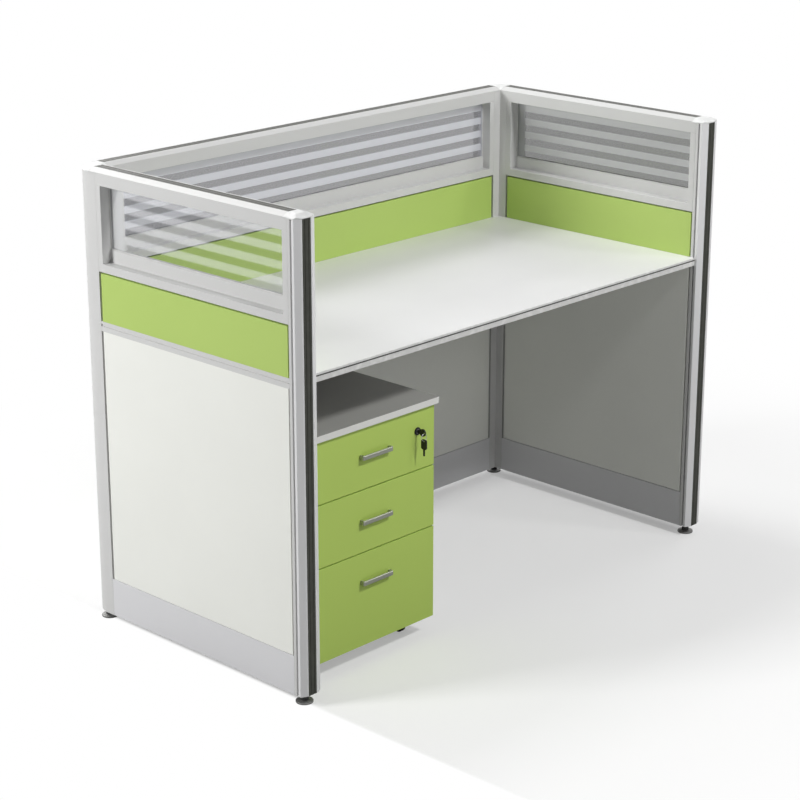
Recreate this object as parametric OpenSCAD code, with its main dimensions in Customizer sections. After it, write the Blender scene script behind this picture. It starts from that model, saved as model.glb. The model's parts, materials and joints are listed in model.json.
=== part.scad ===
// Cubicle workstation: three low partition walls joined at two corner posts, a desk top hung
// between them and a three-drawer pedestal on castors that rolls under the desk.
// Origin: the middle of the footprint, at floor level. +X runs to the sitter's right,
// +Y to the rear wall and +Z up. All lengths are in millimetres.

/* [Overall] */
// Width over the two side walls
width = 1460; // [1300:10:1800]
// Depth from the nose of the end covers to the rear face
depth = 733.5; // [700:0.5:900]
// Height of the walls' shoulder above the floor
wall_top = 1103; // [1060:1:1250]
// Gap between the floor and the walls
floor_gap = 26; // [24:1:34]

/* [Walls] */
// Thickness of the walls
wall_t = 60; // [56:1:70]
// Thickness of the boards, tiles and skirtings on each side
skin_t = 10; // [8:0.5:12]
// Height of the skirting's top above the floor
skirting_top = 120; // [100:1:160]
// Rise of the transom's upper edge above the desk's surface
transom_rise = 0.3; // [0:0.1:3]
// Height of the transom
transom_h = 23.8; // [20:0.1:26]
// Height of the green tiles
tile_h = 113.2; // [100:0.1:125]
// Height of the sill
sill_h = 19.4; // [15:0.1:25]
// Height of the glazing bead above the sill
bead_h = 30.4; // [20:0.1:40]
// Thickness of the glazing bead
bead_t = 13; // [10:0.5:18]
// Depth of the top rail from the shoulder down
rail_h = 29; // [24:0.5:40]
// Visible width of a window stile
stile_w = 16; // [12:0.5:24]
// Thickness of the glass
glass_t = 6; // [4:0.5:8]

/* [Posts and end covers] */
// Length of the straight legs of a corner post
corner_leg = 23.5; // [18:0.5:40]
// Wall of the corner posts
post_wall = 3; // [2:0.5:5]
// Face of the front post beside the groove
post_face = 8; // [6:0.5:14]
// Groove between end cover and front post
groove_w = 4.5; // [3:0.5:8]
// Depth of an end cover from its nose to the groove
cover_depth = 14.5; // [12:0.5:20]
// Rise from a wall's shoulder to its crown
crown_rise = 7.5; // [5:0.5:10]
// Length of a front cap
cap_len = 41; // [40:0.5:60]
// Width of the black strips
strip_w = 24; // [16:1:30]
// Thickness of the black strips
strip_t = 3; // [2:0.5:4]

/* [Desk] */
// Level of the desk's surface
desk_top_z = 757; // [740:1:760]
// Thickness of the desk top
desk_t = 20; // [18:1:30]
// Setback of the desk's front edge from the covers' noses
desk_setback = 13; // [0:0.5:60]
// Thickness of the desk's edge strip
edge_t = 2.5; // [2:0.5:4]

/* [Pedestal] */
// Width of the pedestal over its drawer fronts
ped_w = 390; // [370:1:420]
// Height of the pedestal
ped_h = 590; // [560:1:620]
// Gap between the cabinet's back and the rear wall
ped_rear_gap = 101.7; // [20:0.1:160]
// Gap between the left wall and the pedestal's side
ped_gap = 45; // [12:1:60]
// Setback of the drawer fronts from the covers' noses
ped_setback = 71.8; // [40:0.1:100]
// Thickness of the pedestal's boards
board_t = 16; // [15:1:18]
// Thickness of the drawer fronts
front_t = 18; // [16:1:20]
// Overhang of the pedestal's top
top_over = 8; // [4:1:20]
// Level of the lowest drawer front's bottom edge
front_low = 45; // [42:1:47]
// Gap between drawer fronts
front_gap = 3; // [2:0.5:4]

/* [Handles, lock and castors] */
// Length of a handle
handle_len = 96; // [80:1:140]
// Height of a handle's bar
handle_h = 10.5; // [8:0.5:16]
// Reach of a handle in front of its drawer
handle_reach = 13; // [12:0.5:32]
// Diameter of the lock's rosette
lock_d = 19; // [17:0.5:24]
// Distance of the lock from the drawer front's right edge
lock_in = 56; // [40:1:80]
// Drop of the lock below the drawer front's top edge
lock_drop = 51; // [40:1:60]
// Diameter of a castor wheel
wheel_d = 34; // [30:1:36]
// Diameter of a levelling foot
foot_d = 40; // [30:1:44]

/* [Hidden] */
// Running clearance on a radius, and the clearance between sliding faces
run_gap = 0.05;
slide_gap = 0.4;
// Length by which cuts run past a face
over = 1;
// Smoothness of the true circles
$fn = 64;

// Joints between the boards and what frames them
front_joint = 3;
corner_joint = 6.5;
level_joint = 3.5;
skirting_joint = 1.5;

// Levels shared by the walls: the transom and the window follow the desk
crown_z = wall_top + crown_rise;
cap_low = wall_top - strip_t;
rail_low = wall_top - rail_h;
transom_top = desk_top_z + transom_rise;
transom_low = transom_top - transom_h;
sill_low = transom_top + tile_h + level_joint;
sill_top = sill_low + sill_h;
bead_top = sill_top + bead_h;

// Places along a side wall, counted from the nose of its end cover
post_at = cover_depth + groove_w;
side_start = post_at + post_face;
side_end = depth - wall_t - corner_leg;
// Places along the rear wall, counted from its left end
rear_start = wall_t + corner_leg;
rear_end = width - wall_t - corner_leg;

// Nose profile shared by the rails and the covers
lip_w = 3;
strip_low = wall_t / 2 - strip_w / 2;
strip_high = wall_t / 2 + strip_w / 2;
rib_w = 2;
rib_depth = 1;
rib_shares = [0.28, 0.72];

// Frame hidden between the boards
core_bar = 26;
core_foot = 40;
tongue = 26;
pane_let = 5;
pane_seat = 4.6;

// Levelling feet
foot_base = 5;
foot_rim = 1.5;
foot_hub_d = 19;
stem_d = 8;
stem_up = 30;
socket_h = 40;
front_foot_y = side_start;
foot_rest = 0.3;

// Desk
desk_front = desk_setback + edge_t;
inlay_h = 3;
inlay_low = 12;
inlay_t = 1.2;
bracket_leg = 28;
bracket_t = 2.5;
bracket_w = 40;
bracket_shares = [0.25, 0.78];

// Pedestal places, in the frame of the whole part
ped_left = -width / 2 + wall_t + ped_gap;
ped_right = ped_left + ped_w;
ped_mid = ped_left + ped_w / 2;
ped_front = -depth / 2 + ped_setback;
front_clear = 1;
cab_front = ped_front + front_t + front_clear;
cab_back = depth / 2 - wall_t - ped_rear_gap;
ped_depth = cab_back - ped_front - front_t;
ped_top_low = ped_h - board_t;
cab_low = front_low + front_gap;
back_t = 9;

// Drawers, from the top one down: heights as shares of the space for the fronts
front_shares = [0.278, 0.285, 0.437];
box_shares = [0.41, 0.62, 0.74];
handle_shares = [0.458, 0.497, 0.306];
fronts_h = ped_top_low - front_low - 3 * front_gap;
front_heights = [for (s = front_shares) s * fronts_h];
front_tops = [
    ped_top_low - front_gap,
    ped_top_low - 2 * front_gap - front_heights[0],
    ped_top_low - 3 * front_gap - front_heights[0] - front_heights[1]
];
front_lows = [for (i = [0 : 2]) front_tops[i] - front_heights[i]];
box_wall = 12;
box_floor = 6;
box_clear = 3;
box_lift = front_gap + board_t + box_clear;
box_back = 32;
box_depth = ped_depth - box_back;
box_heights = [for (i = [0 : 2]) box_shares[i] * front_heights[i]];

// Runners: a C-shaped member on the cabinet and a bar on the drawer
runner_room = 12.7;
runner_h = 36;
runner_web = 2;
runner_lip = 2;
runner_short = 10;
runner_inset = 1;
runner_len = box_depth - runner_short;
runner_lift = 12;

// Handles
handle_leg = 6;
handle_bar_t = 4.5;

// Lock, key and spare key
lock_x = ped_right - lock_in;
lock_z = front_tops[0] - lock_drop;
rosette_t = 2;
barrel_d = 16;
plug_d = 11;
cam_gap = 4;
cam_t = 2;
cam_len = 38;
cam_w = 9;
strike_gap = 0.8;
strike_t = 1.6;
strike_w = 34;
strike_drop = 24;
strike_flange = 9;
key_w = 7;
key_t = 2;
key_in = 18;
bow_d = 18;
bow_t = 3.6;
bow_reach = 17;
neck_w = 8;
key_hole_d = 5;
key_hole_out = 4.5;
ring_d = 17;
wire_d = 1.4;
spare_w = 16;
spare_h = 24;
spare_round = 3;
spare_blade_w = 4.5;
spare_blade = 16;
// The ring rests on the lower edge of the key's hole, and the spare key hangs from the ring
hole_reach = bow_reach + bow_d / 2 - key_hole_out;
ring_y = ped_front - hole_reach;
ring_top = lock_z - key_hole_d / 2 + wire_d / 2 + slide_gap;
ring_z = ring_top - ring_d / 2;
spare_hole_z = ring_z - ring_d / 2 + wire_d / 2 - key_hole_d / 2 + slide_gap;

// Castors
plate_w = 36;
plate_t = 2;
castor_side_in = 49;
castor_end_in = 37;
swivel_d = 8;
swivel_len = 5.5;
hub_t = 5;
hub_d = 26;
castor_gap = 0.6;
trail = 9;
wheel_w = 13;
cheek_t = 2.5;
cheek_gap = 0.5;
axle_d = 6;
axle_let = 1;
wheel_round = 1;
castor_spots = [
    [ped_left + castor_side_in, cab_front + castor_end_in],
    [ped_right - castor_side_in, cab_front + castor_end_in],
    [ped_left + castor_side_in, cab_back - castor_end_in],
    [ped_right - castor_side_in, cab_back - castor_end_in]
];

// A box given by its lowest and highest corner
module block(low, high) {
    translate(low) cube(high - low);
}

// Places a left wall's pieces: x counts from the outer face, y from the cover's nose
module on_left() {
    translate([-width / 2, -depth / 2, 0]) children();
}

module on_right() {
    mirror([1, 0, 0]) on_left() children();
}

// Places the rear wall's pieces: x counts from the outer face, y from the wall's left end
module on_rear() {
    translate([-width / 2, depth / 2, 0]) rotate([0, 0, -90]) children();
}

// Places a left corner's pieces about the inner corner of the two walls
module on_corner() {
    translate([-width / 2 + wall_t, depth / 2 - wall_t, 0]) children();
}

// A slab on both faces of a wall
module both_skins(start, end, low, high) {
    block([0, start, low], [skin_t, end, high]);
    block([wall_t - skin_t, start, low], [wall_t, end, high]);
}

// The nose profile, pointing up: shoulders at height zero, a crown with a channel for the strip
module nose_profile(base) {
    polygon([
        [0, -base], [0, 0], [strip_low - lip_w, crown_rise], [strip_low, crown_rise],
        [strip_low, crown_rise - strip_t], [strip_high, crown_rise - strip_t],
        [strip_high, crown_rise], [strip_high + lip_w, crown_rise], [wall_t, 0], [wall_t, -base]
    ]);
}

// The same profile with its channel filled, for the caps
module dome_profile(base) {
    polygon([
        [0, -base], [0, 0], [strip_low - lip_w, crown_rise], [strip_high + lip_w, crown_rise],
        [wall_t, 0], [wall_t, -base]
    ]);
}

// Section of a strip lying in its channel, with two ribs cut in
module strip_profile() {
    difference() {
        translate([strip_low, crown_rise - strip_t]) square([strip_w, strip_t]);
        for (s = rib_shares)
            translate([strip_low + s * strip_w - rib_w / 2, crown_rise - rib_depth])
                square([rib_w, rib_depth + over]);
    }
}

// Runs a profile along a wall at the height of its shoulder
module along_wall(start, end) {
    translate([0, end, wall_top]) rotate([90, 0, 0]) linear_extrude(end - start) children();
}

// Stands a profile up as a front cover, its nose facing forward
module standing(low, high) {
    translate([0, crown_rise, low]) mirror([0, 1, 0]) linear_extrude(high - low) children();
}

module foot_socket(x, y) {
    translate([x, y, floor_gap - over])
        cylinder(h = stem_up + over + foot_rest, r = stem_d / 2 + run_gap);
}

module rear_post() {
    inner = wall_t - post_wall;
    cavity = wall_t - 2 * post_wall;
    difference() {
        translate([0, 0, floor_gap]) linear_extrude(cap_low - floor_gap) {
            intersection() {
                circle(wall_t);
                translate([-wall_t, 0]) square(wall_t);
            }
            translate([-wall_t, -corner_leg]) square([wall_t, corner_leg]);
            square([corner_leg, wall_t]);
        }
        translate([0, 0, floor_gap + socket_h]) linear_extrude(cap_low) intersection() {
            circle(inner);
            translate([-inner, post_wall]) square(cavity);
        }
        foot_socket(-wall_t / 2, wall_t / 2);
    }
}

module front_post() {
    difference() {
        union() {
            block([0, post_at, floor_gap], [wall_t, side_start, cap_low]);
            block([skin_t, post_at, floor_gap],
                [wall_t - skin_t, side_start + tongue, sill_low - level_joint]);
        }
        block([skin_t + post_wall, side_start + post_wall, floor_gap + socket_h],
            [wall_t - skin_t - post_wall, side_start + tongue - post_wall,
                sill_low - level_joint - post_wall]);
        foot_socket(wall_t / 2, front_foot_y);
    }
}

module end_cover() {
    standing(floor_gap, cap_low) nose_profile(cover_depth - crown_rise);
    block([skin_t, cover_depth - strip_t, floor_gap], [wall_t - skin_t, post_at, cap_low]);
}

// A plate over the front post, sloped on its three free sides
module front_cap() {
    intersection() {
        along_wall(0, cap_len) dome_profile(strip_t);
        standing(cap_low, crown_z) dome_profile(cap_len - crown_rise);
        translate([0, 0, wall_top]) rotate([90, 0, 90]) linear_extrude(wall_t) polygon([
            [0, -strip_t], [0, 0], [strip_low - lip_w, crown_rise],
            [cap_len, crown_rise], [cap_len, -strip_t]
        ]);
    }
}

// A quarter-round plate over the corner post, where the crowns of two rails meet
module rear_cap() {
    intersection() {
        translate([0, 0, wall_top]) rotate([0, 0, 90]) rotate_extrude(angle = 90) polygon([
            [0, -strip_t], [0, crown_rise], [strip_high + lip_w, crown_rise],
            [wall_t, 0], [wall_t, -strip_t]
        ]);
        union() {
            translate([-wall_t, -over, 0]) along_wall(over, wall_t + over) dome_profile(strip_t);
            translate([-wall_t, wall_t, 0]) rotate([0, 0, -90]) along_wall(0, wall_t) dome_profile(strip_t);
        }
    }
}

// The box under the shoulder runs between the posts, the crown from cap to cap
module top_rail(start, end, crown_start, crown_end) {
    difference() {
        union() {
            block([0, start, rail_low], [wall_t, end, cap_low]);
            along_wall(crown_start, crown_end) nose_profile(strip_t);
        }
        pane_groove(start, end);
    }
}

module pane_groove(start, end) {
    half = glass_t / 2 + slide_gap / 2;
    block([wall_t / 2 - half, start + stile_w - pane_let, bead_top - pane_let],
        [wall_t / 2 + half, end - stile_w + pane_let, rail_low + pane_let]);
}

module window_frame(start, end) {
    difference() {
        union() {
            block([0, start, sill_low], [wall_t, end, sill_top]);
            block([0, start, sill_low], [wall_t, start + stile_w, rail_low]);
            block([0, end - stile_w, sill_low], [wall_t, end, rail_low]);
            block([wall_t / 2 - bead_t / 2, start, sill_low], [wall_t / 2 + bead_t / 2, end, bead_top]);
        }
        pane_groove(start, end);
    }
}

module glass(start, end) {
    block([wall_t / 2 - glass_t / 2, start + stile_w - pane_seat, bead_top - pane_let],
        [wall_t / 2 + glass_t / 2, end - stile_w + pane_seat, rail_low + pane_seat]);
}

module strips() {
    on_left() along_wall(cap_len, depth - wall_t) strip_profile();
    on_right() along_wall(cap_len, depth - wall_t) strip_profile();
    on_rear() along_wall(wall_t, width - wall_t) strip_profile();
    on_left() standing(floor_gap, cap_low) strip_profile();
    on_right() standing(floor_gap, cap_low) strip_profile();
    block([-width / 2 + wall_t, -depth / 2 + desk_setback, desk_top_z - desk_t + inlay_low],
        [width / 2 - wall_t, -depth / 2 + desk_setback + inlay_t,
            desk_top_z - desk_t + inlay_low + inlay_h]);
}

// A ladder of bars between the boards, with a cross bar at each seam
module core(start, end, uprights) {
    low = skin_t;
    high = wall_t - skin_t;
    step = (end - start - core_bar) / (uprights - 1);
    for (i = [0 : uprights - 1])
        block([low, start + i * step, floor_gap], [high, start + i * step + core_bar, sill_low]);
    block([low, start, floor_gap], [high, end, floor_gap + core_foot]);
    block([low, start, skirting_top - core_bar], [high, end, skirting_top + core_bar]);
    block([low, start, transom_low - core_bar], [high, end, transom_top + core_bar]);
    block([low, start, sill_low - core_bar], [high, end, sill_low]);
}

module transom(start, end) {
    bead = transom_h / 4;
    difference() {
        both_skins(start, end, transom_low, transom_top);
        for (x = [-over, wall_t - bead / 2])
            block([x, start - over, transom_low + 2 * bead],
                [x + over + bead / 2, end + over, transom_low + 3 * bead]);
    }
}

module bracket() {
    block([0, 0, desk_top_z - desk_t - bracket_leg], [bracket_t, bracket_w, desk_top_z - desk_t]);
    block([0, 0, desk_top_z - desk_t - bracket_t], [bracket_leg, bracket_w, desk_top_z - desk_t]);
}

// A glide: a wide base, a domed hub and a stem that screws up into the post
module foot() {
    hub_base = foot_base + foot_rim;
    rotate_extrude() polygon([
        [0, 0], [foot_d / 2 - foot_rim, 0], [foot_d / 2, foot_rim], [foot_d / 2, foot_base],
        [foot_hub_d / 2, hub_base], [foot_hub_d / 2, floor_gap - hub_base],
        [stem_d / 2, floor_gap - foot_rest],
        [stem_d / 2, floor_gap + stem_up], [0, floor_gap + stem_up]
    ]);
}

module foot_left(y) {
    translate([-width / 2 + wall_t / 2, y, 0]) foot();
}

module foot_right(y) {
    translate([width / 2 - wall_t / 2, y, 0]) foot();
}

module cabinet_side() {
    block([ped_left, cab_front, cab_low], [ped_left + board_t, cab_back, ped_top_low]);
}

module mirrored_in_pedestal() {
    children();
    translate([2 * ped_mid, 0, 0]) mirror([1, 0, 0]) children();
}

function runner_low(i) = front_lows[i] + box_lift + runner_lift;

module cabinet_runner(i) {
    x = ped_left + board_t;
    start = cab_front + runner_inset;
    z = runner_low(i);
    difference() {
        block([x, start, z], [x + runner_room - runner_inset, start + runner_len, z + runner_h]);
        block([x + runner_web, start - over, z + runner_lip],
            [x + runner_room, start + runner_len + over, z + runner_h - runner_lip]);
    }
}

module drawer_runner(i) {
    x = ped_left + board_t;
    start = cab_front + runner_inset;
    z = runner_low(i) + runner_lip + slide_gap;
    block([x + runner_web + slide_gap, start, z],
        [x + runner_room, start + runner_len, z + runner_h - 2 * runner_lip - 2 * slide_gap]);
}

module drawer_front(i) {
    difference() {
        block([ped_left, ped_front, front_lows[i]], [ped_right, ped_front + front_t, front_tops[i]]);
        if (i == 0)
            translate([lock_x, ped_front - over, lock_z]) rotate([-90, 0, 0])
                cylinder(h = front_t + 2 * over, d = barrel_d);
    }
}

module drawer_box(i) {
    left = ped_left + board_t + runner_room;
    right = ped_right - board_t - runner_room;
    front = ped_front + front_t;
    low = front_lows[i] + box_lift;
    difference() {
        block([left, front, low], [right, front + box_depth, low + box_heights[i]]);
        block([left + box_wall, front + box_wall, low + box_floor],
            [right - box_wall, front + box_depth - box_wall, low + box_heights[i] + over]);
    }
}

// A bow handle: a bar held off by two legs
module handle(i) {
    z = front_tops[i] - handle_shares[i] * front_heights[i];
    translate([ped_mid, ped_front, z - handle_h / 2]) linear_extrude(handle_h) difference() {
        polygon([
            [-handle_len / 2, 0], [-handle_len / 2, handle_bar_t / 2 - handle_reach],
            [-handle_len / 2 + handle_bar_t / 2, -handle_reach],
            [handle_len / 2 - handle_bar_t / 2, -handle_reach],
            [handle_len / 2, handle_bar_t / 2 - handle_reach], [handle_len / 2, 0]
        ]);
        polygon([
            [-handle_len / 2 + handle_leg, over],
            [-handle_len / 2 + handle_leg, handle_bar_t - handle_reach],
            [handle_len / 2 - handle_leg, handle_bar_t - handle_reach],
            [handle_len / 2 - handle_leg, over]
        ]);
    }
}

// Turns a piece modelled upright so that it points out of the drawer front at the lock
module at_lock() {
    translate([lock_x, ped_front, lock_z]) rotate([90, 0, 0]) children();
}

module lock_body() {
    at_lock() difference() {
        union() {
            cylinder(h = rosette_t, d = lock_d);
            translate([0, 0, -front_t]) cylinder(h = front_t, d = barrel_d);
        }
        translate([0, 0, -front_t - over])
            cylinder(h = front_t + rosette_t + 2 * over, r = plug_d / 2 + run_gap);
    }
}

// The plug carries the cam behind the front; the cam points left while the lock is open
module plug() {
    cam_back = front_t + cam_gap + cam_t;
    at_lock() difference() {
        union() {
            translate([0, 0, -cam_back]) cylinder(h = cam_back + rosette_t, d = plug_d);
            block([-cam_len, -cam_w / 2, -cam_back], [0, cam_w / 2, cam_t - cam_back]);
        }
        block([-key_t / 2 - slide_gap / 2, -key_w / 2 - slide_gap / 2, rosette_t - key_in - slide_gap],
            [key_t / 2 + slide_gap / 2, key_w / 2 + slide_gap / 2, rosette_t + over]);
    }
}

module key_hole() {
    rotate([0, 90, 0]) translate([0, 0, -bow_t]) cylinder(h = 2 * bow_t, d = key_hole_d);
}

module key_piece() {
    neck_end = bow_reach - bow_d / 4;
    at_lock() {
        block([-key_t / 2, -key_w / 2, rosette_t - key_in], [key_t / 2, key_w / 2, neck_end]);
        difference() {
            union() {
                translate([-bow_t / 2, 0, bow_reach]) rotate([0, 90, 0]) cylinder(h = bow_t, d = bow_d);
                block([-bow_t / 2, -neck_w / 2, rosette_t + slide_gap],
                    [bow_t / 2, neck_w / 2, neck_end]);
            }
            translate([0, 0, hole_reach]) key_hole();
        }
    }
}

module ring() {
    translate([lock_x, ring_y, ring_z]) rotate([90, 0, 0])
        rotate_extrude() translate([ring_d / 2, 0]) circle(d = wire_d, $fn = 24);
}

module spare_outline() {
    half = spare_w / 2;
    polygon([
        [-half + spare_round, -spare_h / 2], [half - spare_round, -spare_h / 2],
        [half, -spare_h / 2 + spare_round], [half, spare_h / 2 - spare_round],
        [half - spare_round, spare_h / 2], [-half + spare_round, spare_h / 2],
        [-half, spare_h / 2 - spare_round], [-half, -spare_h / 2 + spare_round]
    ]);
}

module spare() {
    top = spare_hole_z + key_hole_out;
    translate([lock_x, ring_y, 0]) difference() {
        union() {
            translate([-bow_t / 2, 0, top - spare_h / 2]) rotate([90, 0, 90])
                linear_extrude(bow_t) spare_outline();
            block([-key_t / 2, -spare_blade_w / 2, top - spare_h - spare_blade],
                [key_t / 2, spare_blade_w / 2, top - spare_h + spare_round]);
        }
        translate([0, 0, spare_hole_z]) key_hole();
    }
}

module strike() {
    y = ped_front + front_t + strike_gap;
    block([lock_x - strike_w / 2, y, ped_top_low - strike_drop],
        [lock_x + strike_w / 2, y + strike_t, ped_top_low]);
    block([lock_x - strike_w / 2, y, ped_top_low - strike_t],
        [lock_x + strike_w / 2, y + strike_flange, ped_top_low]);
}

// A plate with the pin on which the fork turns
module castor_plate() {
    pin_low = cab_low - plate_t - castor_gap - swivel_len;
    translate([0, 0, cab_low - plate_t / 2]) cube([plate_w, plate_w, plate_t], center = true);
    translate([0, 0, pin_low]) cylinder(h = cab_low - plate_t / 2 - pin_low, d = swivel_d);
}

module castor_fork() {
    top = cab_low - plate_t - castor_gap;
    half = wheel_w / 2 + cheek_gap;
    difference() {
        union() {
            translate([0, 0, top - hub_t]) cylinder(h = hub_t, d = hub_d);
            for (s = [-1, 1]) {
                x = s * (half + cheek_t / 2) - cheek_t / 2;
                hull() {
                    translate([x, trail, wheel_d / 2]) rotate([0, 90, 0])
                        cylinder(h = cheek_t, d = 2 * axle_d, $fn = 32);
                    block([x, -swivel_d / 2, top - hub_t], [x + cheek_t, trail + swivel_d / 2, top]);
                }
            }
            block([-half - cheek_t, -swivel_d / 2, top - hub_t],
                [half + cheek_t, trail + swivel_d / 2, top]);
            translate([-half - axle_let, trail, wheel_d / 2]) rotate([0, 90, 0])
                cylinder(h = 2 * half + 2 * axle_let, d = axle_d);
        }
        translate([0, 0, top - hub_t - over])
            cylinder(h = hub_t + 2 * over, r = swivel_d / 2 + run_gap);
    }
}

module castor_wheel() {
    rim = wheel_round;
    translate([0, trail, wheel_d / 2]) rotate([0, 90, 0]) rotate_extrude() polygon([
        [axle_d / 2 + run_gap, -wheel_w / 2], [wheel_d / 2 - rim, -wheel_w / 2],
        [wheel_d / 2, rim - wheel_w / 2], [wheel_d / 2, wheel_w / 2 - rim],
        [wheel_d / 2 - rim, wheel_w / 2], [axle_d / 2 + run_gap, wheel_w / 2]
    ]);
}

module at_castor(i) {
    translate([castor_spots[i][0], castor_spots[i][1], 0]) children();
}

module rear_left_post() {
    color("lightgrey") on_corner() rear_post();
}

module rear_right_post() {
    color("lightgrey") mirror([1, 0, 0]) on_corner() rear_post();
}

module front_left_post() {
    color("lightgrey") on_left() front_post();
}

module front_right_post() {
    color("lightgrey") on_right() front_post();
}

module end_covers() {
    color("silver") {
        on_left() end_cover();
        on_right() end_cover();
    }
}

module post_caps() {
    color("whitesmoke") {
        on_left() front_cap();
        on_right() front_cap();
        on_corner() rear_cap();
        mirror([1, 0, 0]) on_corner() rear_cap();
    }
}

module black_strips() {
    color("dimgray") strips();
}

module left_top_rail() {
    color("gainsboro") on_left() top_rail(side_start, side_end, cap_len, depth - wall_t);
}

module rear_top_rail() {
    color("gainsboro") on_rear() top_rail(rear_start, rear_end, wall_t, width - wall_t);
}

module right_top_rail() {
    color("gainsboro") on_right() top_rail(side_start, side_end, cap_len, depth - wall_t);
}

module left_window_frame() {
    color("gainsboro") on_left() window_frame(side_start, side_end);
}

module rear_window_frame() {
    color("gainsboro") on_rear() window_frame(rear_start, rear_end);
}

module right_window_frame() {
    color("gainsboro") on_right() window_frame(side_start, side_end);
}

module left_glass() {
    color("lightcyan") on_left() glass(side_start, side_end);
}

module rear_glass() {
    color("lightcyan") on_rear() glass(rear_start, rear_end);
}

module right_glass() {
    color("lightcyan") on_right() glass(side_start, side_end);
}

module green_tiles() {
    low = transom_top;
    high = sill_low - level_joint;
    color("yellowgreen") {
        on_left() both_skins(side_start + front_joint, side_end - corner_joint, low, high);
        on_right() both_skins(side_start + front_joint, side_end - corner_joint, low, high);
        on_rear() both_skins(rear_start + corner_joint, rear_end - corner_joint, low, high);
    }
}

module transom_rails() {
    color("silver") {
        on_left() transom(side_start, side_end);
        on_right() transom(side_start, side_end);
        on_rear() transom(rear_start, rear_end);
    }
}

module wall_boards() {
    low = skirting_top + skirting_joint;
    color("whitesmoke") {
        on_left() both_skins(side_start + front_joint, side_end - corner_joint, low, transom_low);
        on_right() both_skins(side_start + front_joint, side_end - corner_joint, low, transom_low);
        on_rear() both_skins(rear_start + corner_joint, rear_end - corner_joint, low, transom_low);
    }
}

module skirtings() {
    color("lightgrey") {
        on_left() both_skins(side_start, side_end, floor_gap, skirting_top);
        on_right() both_skins(side_start, side_end, floor_gap, skirting_top);
        on_rear() both_skins(rear_start, rear_end, floor_gap, skirting_top);
    }
}

module wall_cores() {
    color("darkgray") {
        on_left() core(side_start + tongue, side_end, 2);
        on_right() core(side_start + tongue, side_end, 2);
        on_rear() core(rear_start, rear_end, 3);
    }
}

module desk_top() {
    color("white") block([-width / 2 + wall_t, -depth / 2 + desk_front, desk_top_z - desk_t],
        [width / 2 - wall_t, depth / 2 - wall_t, desk_top_z]);
}

module desk_edge_strip() {
    y = -depth / 2 + desk_setback;
    low = desk_top_z - desk_t;
    color("whitesmoke") difference() {
        block([-width / 2 + wall_t, y, low], [width / 2 - wall_t, y + edge_t, desk_top_z]);
        block([-width / 2, y - over, low + inlay_low], [width / 2, y + inlay_t, low + inlay_low + inlay_h]);
    }
}

module desk_brackets() {
    run = depth - wall_t - desk_front;
    color("gray") for (s = bracket_shares) {
        on_left() translate([wall_t, desk_front + s * run, 0]) bracket();
        on_right() translate([wall_t, desk_front + s * run, 0]) bracket();
    }
}

module front_left_foot() {
    color("dimgray") foot_left(-depth / 2 + front_foot_y);
}

module front_right_foot() {
    color("dimgray") foot_right(-depth / 2 + front_foot_y);
}

module rear_left_foot() {
    color("dimgray") foot_left(depth / 2 - wall_t / 2);
}

module rear_right_foot() {
    color("dimgray") foot_right(depth / 2 - wall_t / 2);
}

module pedestal_top() {
    color("whitesmoke") block([ped_left - top_over, ped_front - top_over, ped_top_low],
        [ped_right + top_over, cab_back, ped_h]);
}

module pedestal_sides() {
    color("whitesmoke") mirrored_in_pedestal() cabinet_side();
}

module pedestal_back() {
    color("whitesmoke") block([ped_left + board_t, cab_back - back_t, cab_low + board_t],
        [ped_right - board_t, cab_back, ped_top_low]);
}

module pedestal_bottom() {
    color("whitesmoke") block([ped_left + board_t, cab_front, cab_low],
        [ped_right - board_t, cab_back, cab_low + board_t]);
}

module cabinet_runners() {
    color("silver") mirrored_in_pedestal() for (i = [0 : 2]) cabinet_runner(i);
}

module lock_strike() {
    color("silver") strike();
}

module castor_plates() {
    color("silver") for (i = [0 : 3]) at_castor(i) castor_plate();
}

module top_drawer_front() {
    color("yellowgreen") drawer_front(0);
}

module top_drawer_box() {
    color("white") drawer_box(0);
}

module top_drawer_handle() {
    color("silver") handle(0);
}

module top_drawer_runners() {
    color("silver") mirrored_in_pedestal() drawer_runner(0);
}

module middle_drawer_front() {
    color("yellowgreen") drawer_front(1);
}

module middle_drawer_box() {
    color("white") drawer_box(1);
}

module middle_drawer_handle() {
    color("silver") handle(1);
}

module middle_drawer_runners() {
    color("silver") mirrored_in_pedestal() drawer_runner(1);
}

module bottom_drawer_front() {
    color("yellowgreen") drawer_front(2);
}

module bottom_drawer_box() {
    color("white") drawer_box(2);
}

module bottom_drawer_handle() {
    color("silver") handle(2);
}

module bottom_drawer_runners() {
    color("silver") mirrored_in_pedestal() drawer_runner(2);
}

module lock_barrel() {
    color("dimgray") lock_body();
}

module lock_plug() {
    color("gray") plug();
}

module key() {
    color("black") key_piece();
}

module key_ring() {
    color("silver") ring();
}

module spare_key() {
    color("black") spare();
}

module front_left_fork() {
    color("dimgray") at_castor(0) castor_fork();
}

module front_right_fork() {
    color("dimgray") at_castor(1) castor_fork();
}

module rear_left_fork() {
    color("dimgray") at_castor(2) castor_fork();
}

module rear_right_fork() {
    color("dimgray") at_castor(3) castor_fork();
}

module front_left_wheel() {
    color("black") at_castor(0) castor_wheel();
}

module front_right_wheel() {
    color("black") at_castor(1) castor_wheel();
}

module rear_left_wheel() {
    color("black") at_castor(2) castor_wheel();
}

module rear_right_wheel() {
    color("black") at_castor(3) castor_wheel();
}

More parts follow.
